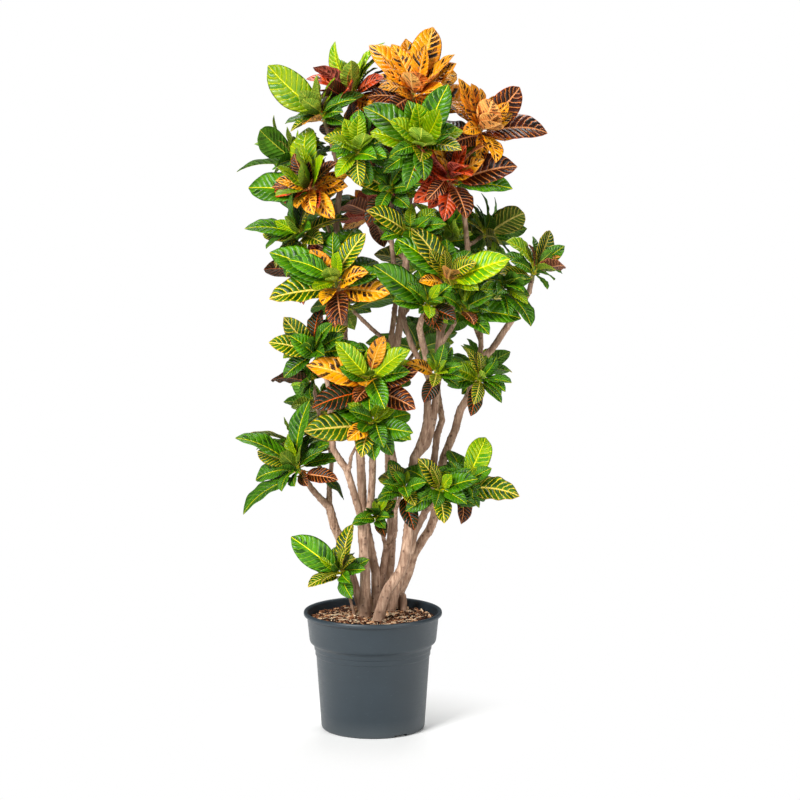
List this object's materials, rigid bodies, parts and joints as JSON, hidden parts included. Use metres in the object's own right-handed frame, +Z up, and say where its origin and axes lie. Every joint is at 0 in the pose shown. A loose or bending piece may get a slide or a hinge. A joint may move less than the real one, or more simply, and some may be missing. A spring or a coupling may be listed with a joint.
{
  "type": "potted croton",
  "caption": "Branched, many-stemmed croton with variegated leaves on bare woody canes, rooted in potting mix in a round nursery pot.",
  "frame": {"origin": "centre of the pot's underside, on the floor", "axes": "+Z up along the pot's axis, -Y towards the front of the plant, +X to its right seen from the front"},
  "size_m": [0.6293, 0.4703, 1.3634],
  "materials": {
    "pot_plastic": "satin moulded plastic, taken to be polypropylene",
    "potting_mix": "rough bark and coir chips",
    "bark": "dry, matt, ringed with leaf scars",
    "leaf_green": "leathery, with a waxy gloss",
    "leaf_gold": "leathery, with a waxy gloss",
    "leaf_red": "leathery, with a waxy gloss"
  },
  "bodies": {
    "root": {"nursery_pot": "pot_plastic", "potting_mix": "potting_mix", "front_cane": "bark", "dark_cane": "bark", "left_cane": "bark", "stump_cane": "bark", "right_front_cane": "bark", "right_cane": "bark", "middle_cane": "bark", "back_cane": "bark", "young_sprout_stem": "bark", "pruned_stub": "bark", "shoot_crown_top": "leaf_gold", "shoot_crown_left": "leaf_green", "shoot_left_high": "leaf_green", "shoot_left_outer": "leaf_green", "shoot_left_red": "leaf_red", "shoot_centre_high": "leaf_green", "shoot_centre_back": "leaf_green", "shoot_coral": "leaf_red", "shoot_crown_right": "leaf_gold", "shoot_crown_front": "leaf_green", "shoot_left_mid": "leaf_green", "shoot_left_gold": "leaf_gold", "shoot_left_low": "leaf_green", "shoot_centre_gold": "leaf_gold", "shoot_low_left": "leaf_green", "shoot_low_left_back": "leaf_green", "shoot_centre_drooping": "leaf_green", "shoot_low_centre": "leaf_green", "shoot_low_right": "leaf_green", "shoot_low_inner": "leaf_green", "shoot_low_small": "leaf_green", "shoot_sprout": "leaf_green", "shoot_mid_centre": "leaf_green", "shoot_mid_gold": "leaf_gold", "shoot_right_high": "leaf_green", "shoot_right_tip": "leaf_green", "shoot_right_lower": "leaf_green", "shoot_mid_right": "leaf_green", "shoot_right_back": "leaf_green", "shoot_right_low": "leaf_green", "shoot_centre_small": "leaf_green", "shoot_mid_upright": "leaf_green", "shoot_mid_left": "leaf_green", "shoot_left_inner": "leaf_green", "shoot_right_inner": "leaf_green", "shoot_back_left": "leaf_red", "shoot_back_left_high": "leaf_green", "shoot_back_top": "leaf_green", "shoot_back_left_low": "leaf_green", "shoot_back_right_low": "leaf_green", "shoot_back_right": "leaf_green", "shoot_back_low": "leaf_green", "shoot_back_low_right": "leaf_green", "shoot_back_mid_left": "leaf_green", "shoot_back_mid_right": "leaf_green", "shoot_back_high": "leaf_red", "shoot_back_high_right": "leaf_green"}
  },
  "joints": []
}
